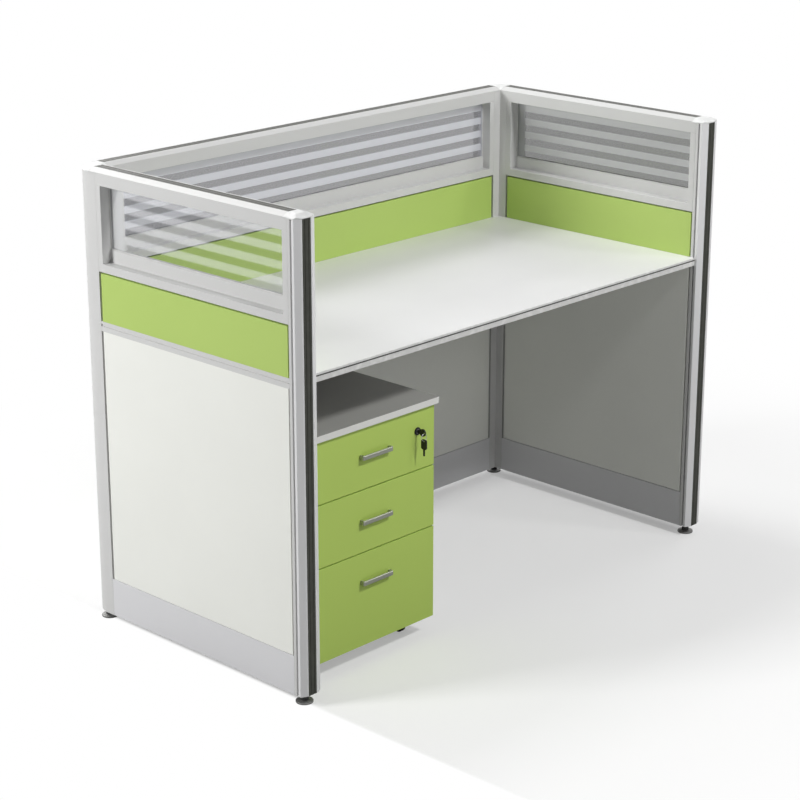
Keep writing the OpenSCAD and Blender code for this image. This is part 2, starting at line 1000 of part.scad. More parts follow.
rear_left_post();
rear_right_post();
front_left_post();
front_right_post();
end_covers();
post_caps();
black_strips();
left_top_rail();
rear_top_rail();
right_top_rail();
left_window_frame();
rear_window_frame();
right_window_frame();
left_glass();
rear_glass();
right_glass();
green_tiles();
transom_rails();
wall_boards();
skirtings();
wall_cores();
desk_top();
desk_edge_strip();
desk_brackets();
front_left_foot();
front_right_foot();
rear_left_foot();
rear_right_foot();
pedestal_top();
pedestal_sides();
pedestal_back();
pedestal_bottom();
cabinet_runners();
lock_strike();
castor_plates();
top_drawer_front();
top_drawer_box();
top_drawer_handle();
top_drawer_runners();
middle_drawer_front();
middle_drawer_box();
middle_drawer_handle();
middle_drawer_runners();
bottom_drawer_front();
bottom_drawer_box();
bottom_drawer_handle();
bottom_drawer_runners();
lock_barrel();
lock_plug();
key();
key_ring();
spare_key();
front_left_fork();
front_right_fork();
rear_left_fork();
rear_right_fork();
front_left_wheel();
front_right_wheel();
rear_left_wheel();
rear_right_wheel();
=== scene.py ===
"""Looks of the cubicle workstation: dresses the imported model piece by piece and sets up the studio."""

from __future__ import annotations

import json
import logging
import math
from dataclasses import dataclass
from enum import Enum
from typing import Callable, Sequence

import bmesh
import bpy
from mathutils import Matrix, Vector


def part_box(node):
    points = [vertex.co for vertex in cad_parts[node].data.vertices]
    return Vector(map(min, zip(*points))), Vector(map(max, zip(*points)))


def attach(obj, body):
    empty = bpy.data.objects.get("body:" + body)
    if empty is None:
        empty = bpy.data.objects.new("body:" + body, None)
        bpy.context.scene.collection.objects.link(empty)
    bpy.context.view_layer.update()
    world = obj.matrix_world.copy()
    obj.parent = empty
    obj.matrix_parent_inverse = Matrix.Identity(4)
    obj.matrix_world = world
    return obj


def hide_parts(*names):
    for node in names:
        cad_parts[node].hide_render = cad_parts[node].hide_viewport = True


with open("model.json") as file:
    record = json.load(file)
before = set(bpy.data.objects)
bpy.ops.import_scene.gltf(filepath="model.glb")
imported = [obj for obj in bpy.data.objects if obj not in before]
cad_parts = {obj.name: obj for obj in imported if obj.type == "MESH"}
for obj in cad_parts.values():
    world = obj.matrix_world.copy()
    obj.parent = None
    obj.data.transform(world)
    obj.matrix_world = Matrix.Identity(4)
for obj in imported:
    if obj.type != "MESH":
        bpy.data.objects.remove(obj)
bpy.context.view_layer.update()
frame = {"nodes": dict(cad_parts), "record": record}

LOG = logging.getLogger("workstation")
MM = 0.001
HAIR = 0.05 * MM  # a gap or slack too small to see
WHITE = (1, 1, 1, 1)

Colour = tuple[float, float, float]
Point = tuple[float, float, float]
Outline = Sequence[tuple[float, float]]
Mesh = bmesh.types.BMesh


def tint(red: int, green: int, blue: int) -> Colour:
    """Turns a colour as seen on a screen into the renderer's linear values.

    Args:
        red: Red from 0 to 255.
        green: Green from 0 to 255.
        blue: Blue from 0 to 255.

    Returns:
        The three linear values.
    """
    knee, slope, lift, power = 0.04045, 12.92, 0.055, 2.4
    shares = (value / 255 for value in (red, green, blue))
    return tuple(share / slope if share <= knee else ((share + lift) / (1 + lift)) ** power
                 for share in shares)


class Wire:
    """A shader value that Python sums can use."""

    def __init__(self, paint: Paint, socket: bpy.types.NodeSocket | None) -> None:
        """Keeps the socket, and the paint that sums add nodes to."""
        self.paint = paint
        self.socket = socket

    def _math(self, operation: str, *values: Value) -> Wire:
        """Adds one Math node."""
        return self.paint.node("ShaderNodeMath", {"operation": operation}, dict(enumerate(values)))

    def __add__(self, other: Value) -> Wire:
        """Sum."""
        return self._math("ADD", self, other)

    __radd__ = __add__

    def __sub__(self, other: Value) -> Wire:
        """Difference."""
        return self._math("SUBTRACT", self, other)

    def __rsub__(self, other: Value) -> Wire:
        """Difference from a number."""
        return self._math("SUBTRACT", other, self)

    def __mul__(self, other: Value) -> Wire:
        """Product."""
        return self._math("MULTIPLY", self, other)

    __rmul__ = __mul__

    def __mod__(self, other: Value) -> Wire:
        """What is left over, always positive."""
        return self._math("FLOORED_MODULO", self, other)

    def rise(self, low: float, high: float) -> Wire:
        """Goes smoothly from 0 at low to 1 at high.

        Args:
            low: Value at and below which the result is 0.
            high: Value at and above which the result is 1.

        Returns:
            The eased value.
        """
        return self.paint.node(
            "ShaderNodeMapRange", {"interpolation_type": "SMOOTHSTEP"},
            {"Value": self, "From Min": low, "From Max": high},
        )


Value = Wire | float | int


class Paint:
    """Builds the nodes of one material or of the world."""

    def __init__(self, owner: bpy.types.Material | bpy.types.World) -> None:
        """Empties the owner's node tree.

        Args:
            owner: The material or world to paint.
        """
        owner.use_nodes = True
        self.tree = owner.node_tree
        self.tree.nodes.clear()

    def node(self, kind: str, settings: dict | None = None, values: dict | None = None,
             out: int | str = 0) -> Wire:
        """Adds a node.

        Args:
            kind: Blender's name of the node type.
            settings: Properties of the node, set first.
            values: Numbers, colours or wires for its inputs, by name or number.
            out: Output to return, by name or number.

        Returns:
            The chosen output; it is empty on a node that has none.
        """
        made = self.tree.nodes.new(kind)
        for key, setting in (settings or {}).items():
            setattr(made, key, setting)
        for key, value in (values or {}).items():
            if isinstance(value, Wire):
                self.tree.links.new(value.socket, made.inputs[key])
            else:
                made.inputs[key].default_value = value
        return Wire(self, made.outputs[out] if made.outputs else None)

    def place(self, stretch: Point = (1, 1, 1)) -> Wire:
        """The point on the object in metres.

        Args:
            stretch: Factor on each axis.

        Returns:
            The stretched point.
        """
        spot = self.node("ShaderNodeTexCoord", out="Object")
        return self.node("ShaderNodeMapping", {"vector_type": "POINT"}, {"Vector": spot, "Scale": stretch})

    def noise(self, scale: float, detail: float, stretch: Point = (1, 1, 1)) -> Wire:
        """Soft random clouds between 0 and 1.

        Args:
            scale: Clouds in a metre.
            detail: Octaves.
            stretch: Factor on each axis.

        Returns:
            The value of the clouds.
        """
        return self.node("ShaderNodeTexNoise", {"noise_dimensions": "3D"},
                         {"Vector": self.place(stretch), "Scale": scale, "Detail": detail})

    def axis(self, name: str) -> Wire:
        """One coordinate of the point on the object, in metres.

        Args:
            name: X, Y or Z.

        Returns:
            The coordinate.
        """
        return self.node("ShaderNodeSeparateXYZ", values={"Vector": self.place()}, out=name)

    def mix(self, share: Value, first: Wire | Colour, second: Wire | Colour) -> Wire:
        """Blends two colours.

        Args:
            share: Share of the second colour.
            first: Colour at 0.
            second: Colour at 1.

        Returns:
            The blend.
        """
        full = [(*c, 1) if isinstance(c, tuple) else c for c in (first, second)]
        return self.node("ShaderNodeMix", {"data_type": "RGBA"}, {0: share, 6: full[0], 7: full[1]}, out=2)

    def bump(self, height: Wire, strength: float, depth: float) -> Wire:
        """Turns a height into a normal.

        Args:
            height: Height from 0 to 1.
            strength: Share of the effect.
            depth: Height of 1 in metres.

        Returns:
            The normal.
        """
        return self.node("ShaderNodeBump",
                         values={"Strength": strength, "Distance": depth, "Height": height})

    def finish(self, shader: Wire, kind: str = "ShaderNodeOutputMaterial") -> None:
        """Joins a shader to an output node of the kind given."""
        self.node(kind, values={"Surface": shader})


@dataclass(frozen=True)
class Finish:
    """What every finish has: a name, a colour and a roughness.

    A scale is a number of noise clouds in a metre; a rough value is how much a noise adds to the roughness.
    """

    name: str
    colour: Colour
    rough: float

    def shader(self, paint: Paint) -> Wire:
        """Builds the shader; each kind of finish has its own.

        Args:
            paint: The material's paint.

        Returns:
            The shader.
        """
        raise NotImplementedError

    def shifted(self, share: float) -> Colour:
        """The colour made lighter or darker by a share."""
        return tuple(min(1.0, part * (1 + share)) for part in self.colour)

    def material(self) -> bpy.types.Material:
        """The material of this finish, made once.

        Returns:
            The material.
        """
        known = bpy.data.materials.get(self.name)
        if known:
            return known
        made = bpy.data.materials.new(self.name)
        paint = Paint(made)
        paint.finish(self.shader(paint))
        return made


@dataclass(frozen=True)
class Textured(Finish):
    """What every finish with a fine relief has besides: sheen, metal, and the relief's share and depth."""

    sheen: float = 0.5
    metallic: float = 0.0
    strength: float = 0.15
    depth: float = 0.2 * MM

    def textured(self, paint: Paint, colour: Wire, rough: Wire, height: Wire) -> Wire:
        """A Principled shader with a fine relief.

        Args:
            paint: The material's paint.
            colour: Its colour.
            rough: What adds to its roughness.
            height: Height of the relief from 0 to 1.

        Returns:
            The shader.
        """
        return paint.node("ShaderNodeBsdfPrincipled", values={
            "Base Color": colour,
            "Metallic": self.metallic,
            "Roughness": self.rough + rough,
            "Specular IOR Level": self.sheen,
            "Normal": paint.bump(height, self.strength, self.depth),
        })


@dataclass(frozen=True)
class PowderCoat(Textured):
    """Baked powder paint on metal: a fine orange peel and a soft sheen."""

    sheen: float = 0.25
    strength: float = 0.10
    peel_scale: float = 1400
    peel_rough: float = 0.08
    drift_scale: float = 2.3
    darker: float = 0.025
    lighter: float = 0.02

    def shader(self, paint: Paint) -> Wire:
        """A Principled shader with a fine peel.

        Args:
            paint: The material's paint.

        Returns:
            The shader.
        """
        peel = paint.noise(self.peel_scale, 2)
        drift = paint.noise(self.drift_scale, 3)
        tone = paint.mix(drift, self.shifted(-self.darker), self.shifted(self.lighter))
        return self.textured(paint, tone, peel * self.peel_rough, peel)


@dataclass(frozen=True)
class Laminate(Textured):
    """Melamine board: pearl texture, faint clouds and, where asked, a faint upright grain."""

    sheen: float = 0.4
    strength: float = 0.08
    depth: float = 0.15 * MM
    cloud: float = 0.02
    cloud_scale: float = 2.6
    cloud_rough: float = 0.05
    grain: float = 0.0
    grain_scale: float = 9
    grain_stretch: Point = (9, 9, 0.5)
    grain_share: float = 10
    pearl_scale: float = 1900
    pearl_rough: float = 0.06

    def shader(self, paint: Paint) -> Wire:
        """A Principled shader with clouds, grain and pearls.

        Args:
            paint: The material's paint.

        Returns:
            The shader.
        """
        clouds = paint.noise(self.cloud_scale, 4)
        grain = paint.noise(self.grain_scale, 5, self.grain_stretch)
        tone = paint.mix(clouds.rise(0.3, 0.7), self.shifted(-self.cloud), self.shifted(self.cloud))
        streaks = grain.rise(0.35, 0.7) * min(1.0, self.grain * self.grain_share)
        return self.pearled(paint, paint.mix(streaks, tone, self.shifted(-self.grain)), clouds)

    def pearled(self, paint: Paint, tone: Wire, clouds: Wire) -> Wire:
        """The board's shader with its pearls, from a paint, a colour and the clouds in its roughness."""
        pearl = paint.noise(self.pearl_scale, 1)
        return self.textured(paint, tone, pearl * self.pearl_rough + clouds * self.cloud_rough, pearl)


@dataclass(frozen=True)
class FacedBoard(Laminate):
    """Board whose top face, from a height up, takes a darker grey than the pale edge band round it."""

    cloud_scale: float = 3.1
    face: Colour = tint(160, 160, 156)
    face_lift: float = 1.05
    face_from: float = 0.5895
    seam: float = 0.2 * MM

    def shader(self, paint: Paint) -> Wire:
        """A Principled shader that turns from the edge band to the face at a height.

        Args:
            paint: The material's paint.

        Returns:
            The shader.
        """
        clouds = paint.noise(self.cloud_scale, 4)
        on_face = paint.axis("Z").rise(self.face_from - self.seam, self.face_from)
        lighter = tuple(part * self.face_lift for part in self.face)
        face = paint.mix(clouds.rise(0.3, 0.7), self.face, lighter)
        band = paint.mix(clouds, self.shifted(-self.cloud), self.shifted(self.cloud))
        return self.pearled(paint, paint.mix(on_face, band, face), clouds)


@dataclass(frozen=True)
class CastMetal(Textured):
    """Zinc casting with a speckled, slightly pitted skin."""

    metallic: float = 0.75
    strength: float = 0.3
    speck_scale: float = 900
    patch_scale: float = 120
    patch_rough: float = 0.2
    darker: float = 0.35
    lighter: float = 0.25

    def shader(self, paint: Paint) -> Wire:
        """A Principled metal with speckles.

        Args:
            paint: The material's paint.

        Returns:
            The shader.
        """
        speck = paint.noise(self.speck_scale, 3)
        patch = paint.noise(self.patch_scale, 3)
        tone = paint.mix(speck.rise(0.35, 0.65), self.shifted(-self.darker), self.shifted(self.lighter))
        return self.textured(paint, tone, patch * self.patch_rough, speck)


@dataclass(frozen=True)
class DrawnMetal(Textured):
    """Bare or plated metal with fine lines along the way it was drawn or brushed."""

    metallic: float = 0.9
    depth: float = 0.1 * MM
    along: str = "X"
    drawn_out: float = 0.02
    line_scale: float = 900
    line_rough: float = 0.12
    smear_scale: float = 14
    smear_rough: float = 0.06
    darker: float = 0.16
    lighter: float = 0.10

    def shader(self, paint: Paint) -> Wire:
        """A Principled metal with stretched lines.

        Args:
            paint: The material's paint.

        Returns:
            The shader.
        """
        stretch = tuple(self.drawn_out if axis == self.along else 1.0 for axis in "XYZ")
        lines = paint.noise(self.line_scale, 2, stretch)
        smears = paint.noise(self.smear_scale, 3)
        tone = paint.mix(lines, self.shifted(-self.darker), self.shifted(self.lighter))
        return self.textured(paint, tone, lines * self.line_rough + smears * self.smear_rough, lines)


@dataclass(frozen=True)
class MouldedPlastic(Textured):
    """Moulded plastic or rubber with a fine spark grain."""

    sheen: float = 0.35
    spark_scale: float = 1200
    spark_rough: float = 0.1
    scuff_scale: float = 45
    lighter: float = 0.25

    def shader(self, paint: Paint) -> Wire:
        """A Principled shader with spark grain.

        Args:
            paint: The material's paint.

        Returns:
            The shader.
        """
        spark = paint.noise(self.spark_scale, 3)
        scuff = paint.noise(self.scuff_scale, 4)
        tone = paint.mix(scuff.rise(0.4, 0.8), self.colour, self.shifted(self.lighter))
        return self.textured(paint, tone, spark * self.spark_rough, spark)


@dataclass(frozen=True)
class StripedGlass(Finish):
    """Grey glass under a frosted film with clear bands, laid out by height above the floor in metres."""

    # The veils and the frost colour are set per pane. Where the rear and right panes get them darker, that
    # is painted shade.
    clear_veil: float
    frost_veil: float
    band_end: float
    along: str = "X"
    frost: Colour = (0.85, 0.86, 0.9)
    gloss: float = 0.3
    first_clear: float = 0.9247
    last_clear: float = 1.0494
    pitch: float = 0.0356
    band: float = 0.0178
    edge: float = 0.3 * MM
    etch_scale: float = 2600
    frost_rough: float = 0.3
    etch_rough: float = 0.1
    etch_veil: float = 0.03

    def shader(self, paint: Paint) -> Wire:
        """A Principled shader whose colour, roughness and alpha change from band to band.

        Args:
            paint: The material's paint.

        Returns:
            The shader.
        """
        height, edge = paint.axis("Z"), self.edge
        turn = (height - self.first_clear) % self.pitch
        inside = turn.rise(-edge, edge) * (1 - turn.rise(self.band - edge, self.band + edge))
        span = height.rise(self.first_clear - edge, self.first_clear + edge) * (
            1 - height.rise(self.last_clear - edge, self.last_clear + edge))
        reach = 1 - paint.axis(self.along).rise(self.band_end - edge, self.band_end + edge)
        frosted = 1 - inside * span * reach
        etch = paint.noise(self.etch_scale, 2)
        veil = self.frost_veil - self.clear_veil + (etch - 0.5) * self.etch_veil
        return paint.node("ShaderNodeBsdfPrincipled", values={
            "Base Color": paint.mix(frosted, self.colour, self.frost),
            "Roughness": self.rough + frosted * (self.frost_rough + etch * self.etch_rough),
            "Alpha": self.clear_veil + frosted * veil,
            "Specular IOR Level": self.gloss,
        })


FRAME_COAT = PowderCoat("grey_powder_coat", tint(214, 214, 213), 0.42)
COVER_COAT = PowderCoat("silver_powder_coat", tint(235, 235, 236), 0.38)
SKIRTING_COAT = PowderCoat("skirting_powder_coat", tint(225, 225, 227), 0.46)
CAP_PLASTIC = MouldedPlastic("white_cap_plastic", tint(219, 220, 219), 0.46)
STRIP_RUBBER = MouldedPlastic("black_strip_rubber", tint(68, 69, 63), 0.34, spark_scale=700)
GREEN_TILE = Laminate("green_tile_laminate", tint(183, 209, 112), 0.46, cloud=0.012)
# The drawer fronts use the tiles' green laminate made lighter, as painted light; their faint upright grain
# is real.
GREEN_FRONT_PAINTED_LIGHT = Laminate("green_drawer_laminate_painted_light", tint(191, 218, 108), 0.46, cloud=0.012, grain=0.02)
WHITE_BOARD = Laminate("white_board_laminate", tint(244, 245, 239), 0.44, cloud=0.012)
DESK_BOARD = Laminate("desk_laminate", tint(233, 233, 233), 0.38)
PEDESTAL_TOP = FacedBoard("pedestal_top_laminate", tint(236, 236, 232), 0.44)
BOX_BOARD = Laminate("drawer_box_laminate", tint(233, 233, 229), 0.45, cloud=0.015)
EDGE_BAND = MouldedPlastic("desk_edge_plastic", tint(222, 222, 220), 0.38)
CORE_METAL = DrawnMetal("galvanised_core", tint(120, 120, 118), 0.45, along="Z")
ZINC = DrawnMetal("zinc_plate", tint(196, 198, 202), 0.3, along="Y")
CAST_ZINC = CastMetal("cast_zinc", tint(140, 140, 138), 0.45)
HANDLE_METAL = DrawnMetal("satin_handle_metal", tint(172, 174, 163), 0.38)
LOCK_METAL = DrawnMetal("lock_metal", tint(150, 150, 150), 0.3, along="Y")
FOOT_PLASTIC = MouldedPlastic("black_foot_plastic", tint(42, 42, 42), 0.45)
KEY_PLASTIC = MouldedPlastic("black_key_plastic", tint(30, 31, 30), 0.3)
WHEEL_PLASTIC = MouldedPlastic("black_wheel_plastic", tint(34, 34, 35), 0.5)
GASKET_RUBBER = MouldedPlastic("grey_gasket_rubber", tint(213, 213, 211), 0.6, spark_scale=600,
                               sheen=0.2)
# The three panes are copies of one glass. The rear and right panes get a darker frost colour and heavier
# veils as painted shade, and the right pane also gets a faint green base that the others lack.
LEFT_PANE = StripedGlass("left_striped_glass", (0.10, 0.11, 0.13), 0.06, clear_veil=0.14, frost_veil=0.22,
                         along="Y", band_end=0.2206)
REAR_PANE_PAINTED_SHADE = StripedGlass("rear_glass_painted_shade", (0.09, 0.09, 0.11), 0.06, frost=(0.67, 0.68, 0.74),
                         clear_veil=0.48, frost_veil=0.58, band_end=0.623)
RIGHT_PANE_PAINTED_SHADE = StripedGlass("right_glass_painted_shade", (0.08, 0.085, 0.08), 0.06, frost=(0.46, 0.47, 0.47),
                          clear_veil=0.54, frost_veil=0.62, along="Y", band_end=0.240)

SLOT_FINISHES: dict[str, Finish] = {
    "frame_grey": FRAME_COAT, "cover_silver": COVER_COAT, "cap_white": CAP_PLASTIC,
    "strip_black": STRIP_RUBBER, "tile_green": GREEN_TILE, "board_white": WHITE_BOARD,
    "skirting_grey": SKIRTING_COAT, "desk_white": DESK_BOARD, "steel": ZINC, "foot_black": FOOT_PLASTIC,
    "drawer_green": GREEN_FRONT_PAINTED_LIGHT, "box_white": BOX_BOARD, "handle_metal": HANDLE_METAL,
    "lock_black": KEY_PLASTIC, "wheel_black": WHEEL_PLASTIC,
}
BODY_OF = {node: body for body, nodes in frame["record"]["behaviour"]["bodies"].items() for node in nodes}
SLOT_OF = {part["node"]: part["material_slot"] for part in frame["record"]["subparts"]}


class Corner(Enum):
    """A corner of the workstation or of the pedestal."""

    FRONT_LEFT = "front_left"
    FRONT_RIGHT = "front_right"
    REAR_LEFT = "rear_left"
    REAR_RIGHT = "rear_right"


class Level(Enum):
    """A drawer's place in the pedestal."""

    TOP = "top"
    MIDDLE = "middle"
    BOTTOM = "bottom"


class Side(Enum):
    """A wall's side of the workstation, with the finish of its pane; the rear and right panes' finishes
    carry painted shade.
    """

    LEFT = ("left", LEFT_PANE)
    REAR = ("rear", REAR_PANE_PAINTED_SHADE)
    RIGHT = ("right", RIGHT_PANE_PAINTED_SHADE)

    def __init__(self, word: str, pane: Finish) -> None:
        """Keeps the side's word in node names and its pane's finish."""
        self.word = word
        self.pane = pane


class Workshop:
    """Turns meshes into pieces that ride on the model's bodies."""

    crease = math.radians(38)
    sharp = math.radians(24)
    flat = math.radians(0.5)
    same = 0.002 * MM
    near = 0.001 * MM
    facing = 0.999
    screw_steps = 16
    screw_outline = (
        (0, 0.35), (0.36, 0.35), (0.44, 0.98), (0.60, 1.0), (0.84, 0.84), (0.97, 0.5), (1, 0.12),
        (1, 0), (0, 0),
    )

    def __init__(self) -> None:
        """Starts with no pieces."""
        self.made: list[bpy.types.Object] = []

    @classmethod
    def copy_of(cls, node: str) -> Mesh:
        """A merged copy of a CAD node, with its flat faces joined up.

        Args:
            node: Name of the CAD node.

        Returns:
            The copy.
        """
        mesh = bmesh.new()
        mesh.from_mesh(frame["nodes"][node].data)
        bmesh.ops.remove_doubles(mesh, verts=mesh.verts, dist=cls.same)
        bmesh.ops.dissolve_limit(mesh, angle_limit=cls.flat, verts=mesh.verts, edges=mesh.edges)
        return mesh

    @classmethod
    def soften(cls, mesh: Mesh, width: float, segments: int = 2,
               chosen: Callable[[bmesh.types.BMEdge], bool] = lambda edge: True) -> None:
        """Bevels the sharp outer edges of a mesh.

        Args:
            mesh: The mesh to change.
            width: Width of the bevel in metres.
            segments: Number of strips in the bevel.
            chosen: Tells which edges take part.
        """
        sharp = [edge for edge in mesh.edges
                 if len(edge.link_faces) == 2 and edge.calc_face_angle(0) > cls.sharp and chosen(edge)]
        bmesh.ops.bevel(mesh, geom=sharp, offset=width, offset_type="OFFSET", segments=segments,
                        profile=0.5, affect="EDGES", clamp_overlap=True, material=-1)

    @classmethod
    def weld(cls, mesh: Mesh) -> None:
        """Merges points less than a thousandth of a millimetre apart."""
        bmesh.ops.remove_doubles(mesh, verts=mesh.verts, dist=cls.near)

    @classmethod
    def turned(cls, outline: Outline, centre: Vector, way: Point, steps: int,
               ring: bool = False) -> Mesh:
        """A turned form: an outline spun right round a line.

        Args:
            outline: Points as a distance from the line and a place along it, in millimetres.
            centre: Point on the line, in metres.
            way: Direction of the line.
            steps: Number of faces round the form.
            ring: Whether the outline closes on itself and leaves a hole.

        Returns:
            The form, its faces pointing outwards.
        """
        mesh = bmesh.new()
        points = [mesh.verts.new((out * MM, 0, along * MM)) for out, along in outline]
        pairs = list(zip(points, points[1:])) + ([(points[-1], points[0])] if ring else [])
        edges = [mesh.edges.new(pair) for pair in pairs]
        bmesh.ops.spin(mesh, geom=points + edges, cent=(0, 0, 0), axis=(0, 0, 1), dvec=(0, 0, 0),
                       angle=math.tau, steps=steps, use_merge=True)
        cls.weld(mesh)
        bmesh.ops.recalc_face_normals(mesh, faces=mesh.faces)
        turn = Vector((0, 0, 1)).rotation_difference(Vector(way)).to_matrix().to_4x4()
        bmesh.ops.transform(mesh, matrix=Matrix.Translation(centre) @ turn, verts=mesh.verts)
        return mesh

    @staticmethod
    def gathered(parts: Sequence[Mesh]) -> Mesh:
        """Puts several meshes together in one.

        Args:
            parts: The meshes, freed here.

        Returns:
            The mesh of them all.
        """
        whole = bmesh.new()
        for part in parts:
            data = bpy.data.meshes.new("part")
            part.to_mesh(data)
            part.free()
            whole.from_mesh(data)
            bpy.data.meshes.remove(data)
        return whole

    @classmethod
    def screw(cls, seat: Vector, way: Point, radius: float = 1.8, height: float = 1.1) -> Mesh:
        """The head of a pan screw with a socket.

        Args:
            seat: Middle of the surface that it sits on, in metres.
            way: Direction away from that surface.
            radius: Radius of the head in millimetres.
            height: Height of the head in millimetres.

        Returns:
            The head.
        """
        outline = [(out * radius, up * height) for out, up in cls.screw_outline]
        return cls.turned(outline, seat, way, cls.screw_steps)

    @classmethod
    def loose_boxes(cls, node: str) -> list[tuple[Vector, Vector]]:
        """The lowest and highest corners of each separate solid in a CAD node.

        Args:
            node: Name of the CAD node.

        Returns:
            A pair of corners for each solid, in metres.
        """
        mesh = cls.copy_of(node)
        left = set(mesh.verts)
        boxes = []
        while left:
            reached = {left.pop()}
            waiting = list(reached)
            while waiting:
                for edge in waiting.pop().link_edges:
                    for vert in edge.verts:
                        if vert not in reached:
                            reached.add(vert)
                            waiting.append(vert)
            left -= reached
            spots = [vert.co for vert in reached]
            boxes.append((Vector([min(s[i] for s in spots) for i in range(3)]),
                          Vector([max(s[i] for s in spots) for i in range(3)])))
        mesh.free()
        return boxes

    @classmethod
    def recess(cls, mesh: Mesh, way: Point, rim: float, depth: float,
               chosen: Callable[[bmesh.types.BMFace], bool]) -> None:
        """Sinks the faces that look one way, leaving a rim.

        Args:
            mesh: The mesh to change.
            way: Direction that the faces look in.
            rim: Width of the rim in metres.
            depth: How deep the faces sink, in metres.
            chosen: Tells which of these faces take part.
        """
        faces = [face for face in mesh.faces
                 if face.normal.dot(Vector(way)) > cls.facing and chosen(face)]
        bmesh.ops.inset_region(mesh, faces=faces, thickness=rim, depth=-depth, use_boundary=True,
                               use_even_offset=True)

    def piece(self, mesh: Mesh, name: str, finish: Finish, body: str, slot: str,
              replaced: Sequence[str] = ()) -> None:
        """Makes a piece of the object from a mesh.

        Args:
            mesh: The finished mesh, freed here.
            name: Name of the piece.
            finish: Its finish.
            body: Body it rides on.
            slot: Material slot of the record; not used.
            replaced: CAD nodes that it stands for.
        """
        data = bpy.data.meshes.new(name)
        mesh.to_mesh(data)
        mesh.free()
        data.polygons.foreach_set("use_smooth", [True] * len(data.polygons))
        data.set_sharp_from_angle(angle=self.crease)
        data.materials.append(finish.material())
        made = bpy.data.objects.new(name, data)
        bpy.context.scene.collection.objects.link(made)
        normals = made.modifiers.new("even_normals", "WEIGHTED_NORMAL")
        normals.keep_sharp = True
        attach(made, body)
        if replaced:
            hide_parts(*replaced)
        self.made.append(made)
        LOG.info("%s: %d faces on %s", name, len(data.polygons), body)

    def softened(self, node: str, width: float, segments: int = 2, finish: Finish | None = None) -> None:
        """Stands a softened copy in for a CAD node.

        Args:
            node: Name of the CAD node.
            width: Width of the bevels in metres.
            segments: Number of strips in a bevel.
            finish: Its finish, if not that of the node's slot.
        """
        mesh = self.copy_of(node)
        self.soften(mesh, width, segments)
        self.stand_in(mesh, node, finish)

    def stand_in(self, mesh: Mesh, node: str, finish: Finish | None = None) -> None:
        """Stands a mesh in for a CAD node.

        Args:
            mesh: The finished mesh.
            node: Name of the CAD node.
            finish: Its finish, if not that of the node's slot.
        """
        slot = SLOT_OF[node]
        finish = finish or SLOT_FINISHES[slot]
        self.piece(mesh, f"{node}_finished", finish, BODY_OF[node], slot, [node])

    @staticmethod
    def repaint(node: str, finish: Finish) -> None:
        """Gives a CAD node that stays a finish.

        Args:
            node: Name of the CAD node.
            finish: The finish.
        """
        materials = frame["nodes"][node].data.materials
        materials.clear()
        materials.append(finish.material())
        LOG.info("%s: kept, with %s", node, finish.name)


